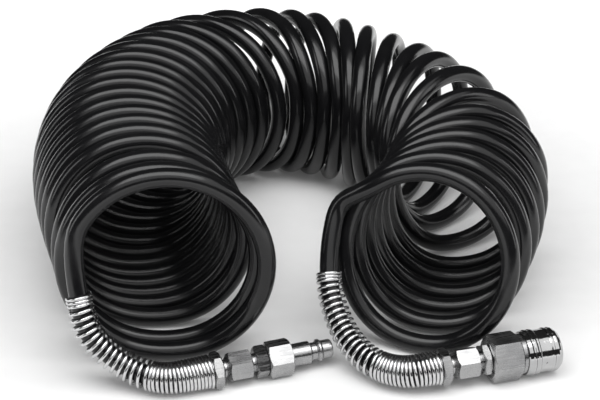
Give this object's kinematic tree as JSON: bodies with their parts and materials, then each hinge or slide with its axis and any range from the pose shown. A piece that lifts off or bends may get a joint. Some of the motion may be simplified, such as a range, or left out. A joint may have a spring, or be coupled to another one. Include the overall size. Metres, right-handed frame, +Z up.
{
  "type": "recoil air hose",
  "caption": "Black coiled air hose bent into a horseshoe, with spring guards, swivelling hexagon fittings, a quick-connect plug and a sleeve-locked socket.",
  "frame": {"origin": "on the floor below the middle of the whole object's box", "axes": "+Z up from the floor; +Y from the two open mouths of the horseshoe towards its closed back; +X from the plug's arm to the socket's arm"},
  "size_m": [0.3007, 0.3325, 0.1103],
  "materials": {
    "hose": "glossy black polyurethane",
    "spring_wire": "bright drawn spring wire",
    "nickel_hex": "nickel plate over machined steel",
    "polished_sleeve": "polished nickel plate",
    "steel": "ground steel",
    "brass": "machined brass",
    "seal_rubber": "matt black nitrile rubber"
  },
  "bodies": {
    "hose": {"hose_coil": "hose", "plug_hose_tail": "hose", "socket_hose_tail": "hose", "plug_spring_guard": "spring_wire", "socket_spring_guard": "spring_wire", "plug_guard_nut": "nickel_hex", "socket_guard_nut": "nickel_hex", "plug_hose_stem": "nickel_hex", "socket_hose_stem": "nickel_hex", "plug_swivel_snap_ring": "steel", "socket_swivel_snap_ring": "steel"},
    "plug_end": {"plug_spindle": "nickel_hex", "plug_swivel_seal": "seal_rubber", "plug_body": "nickel_hex"},
    "socket_end": {"socket_spindle": "nickel_hex", "socket_swivel_seal": "seal_rubber", "socket_body": "nickel_hex", "valve_spring_seat": "brass", "valve_spring": "spring_wire", "nose_seal": "seal_rubber", "sleeve_spring": "spring_wire", "sleeve_retaining_ring": "steel"},
    "sleeve": {"release_sleeve": "polished_sleeve"},
    "valve": {"valve_poppet": "brass", "poppet_seal": "seal_rubber"},
    "ball_1": {"locking_ball_1": "steel"},
    "ball_2": {"locking_ball_2": "steel"},
    "ball_3": {"locking_ball_3": "steel"},
    "ball_4": {"locking_ball_4": "steel"},
    "ball_5": {"locking_ball_5": "steel"},
    "ball_6": {"locking_ball_6": "steel"}
  },
  "joints": [
    {"name": "plug_swivel", "type": "hinge", "parent": "hose", "child": "plug_end", "pos_m": [-0.02335, -0.14531, 0.0091], "axis": [0.9444, 0.3289, 0], "continuous": true},
    {"name": "socket_swivel", "type": "hinge", "parent": "hose", "child": "socket_end", "pos_m": [0.09286, -0.14717, 0.012], "axis": [0.9622, 0.2723, 0], "continuous": true},
    {"name": "sleeve_slide", "type": "slide", "parent": "socket_end", "child": "sleeve", "axis": [-0.9622, -0.2723, 0], "range_m": [0, 0.0018], "stiffness_N_per_m": 2500, "springref_m": -0.003, "deforming": ["sleeve_spring"]},
    {"name": "valve_slide", "type": "slide", "parent": "socket_end", "child": "valve", "axis": [-0.9622, -0.2723, 0], "range_m": [0, 0.0035], "stiffness_N_per_m": 900, "springref_m": -0.002, "deforming": ["valve_spring"]},
    {"name": "ball_1_lift", "type": "slide", "parent": "socket_end", "child": "ball_1", "axis": [0, 0, 1], "range_m": [0, 0.00065]},
    {"name": "ball_2_lift", "type": "slide", "parent": "socket_end", "child": "ball_2", "axis": [0.2358, -0.8333, 0.5], "range_m": [0, 0.00065]},
    {"name": "ball_3_lift", "type": "slide", "parent": "socket_end", "child": "ball_3", "axis": [0.2358, -0.8333, -0.5], "range_m": [0, 0.00065]},
    {"name": "ball_4_lift", "type": "slide", "parent": "socket_end", "child": "ball_4", "axis": [0, 0, -1], "range_m": [0, 0.00065]},
    {"name": "ball_5_lift", "type": "slide", "parent": "socket_end", "child": "ball_5", "axis": [-0.2358, 0.8333, -0.5], "range_m": [0, 0.00065]},
    {"name": "ball_6_lift", "type": "slide", "parent": "socket_end", "child": "ball_6", "axis": [-0.2358, 0.8333, 0.5], "range_m": [0, 0.00065]}
  ],
  "couplings": [
    {"joint": "ball_1_lift", "follows": "sleeve_slide", "ratio": 0.36},
    {"joint": "ball_2_lift", "follows": "sleeve_slide", "ratio": 0.36},
    {"joint": "ball_3_lift", "follows": "sleeve_slide", "ratio": 0.36},
    {"joint": "ball_4_lift", "follows": "sleeve_slide", "ratio": 0.36},
    {"joint": "ball_5_lift", "follows": "sleeve_slide", "ratio": 0.36},
    {"joint": "ball_6_lift", "follows": "sleeve_slide", "ratio": 0.36}
  ]
}
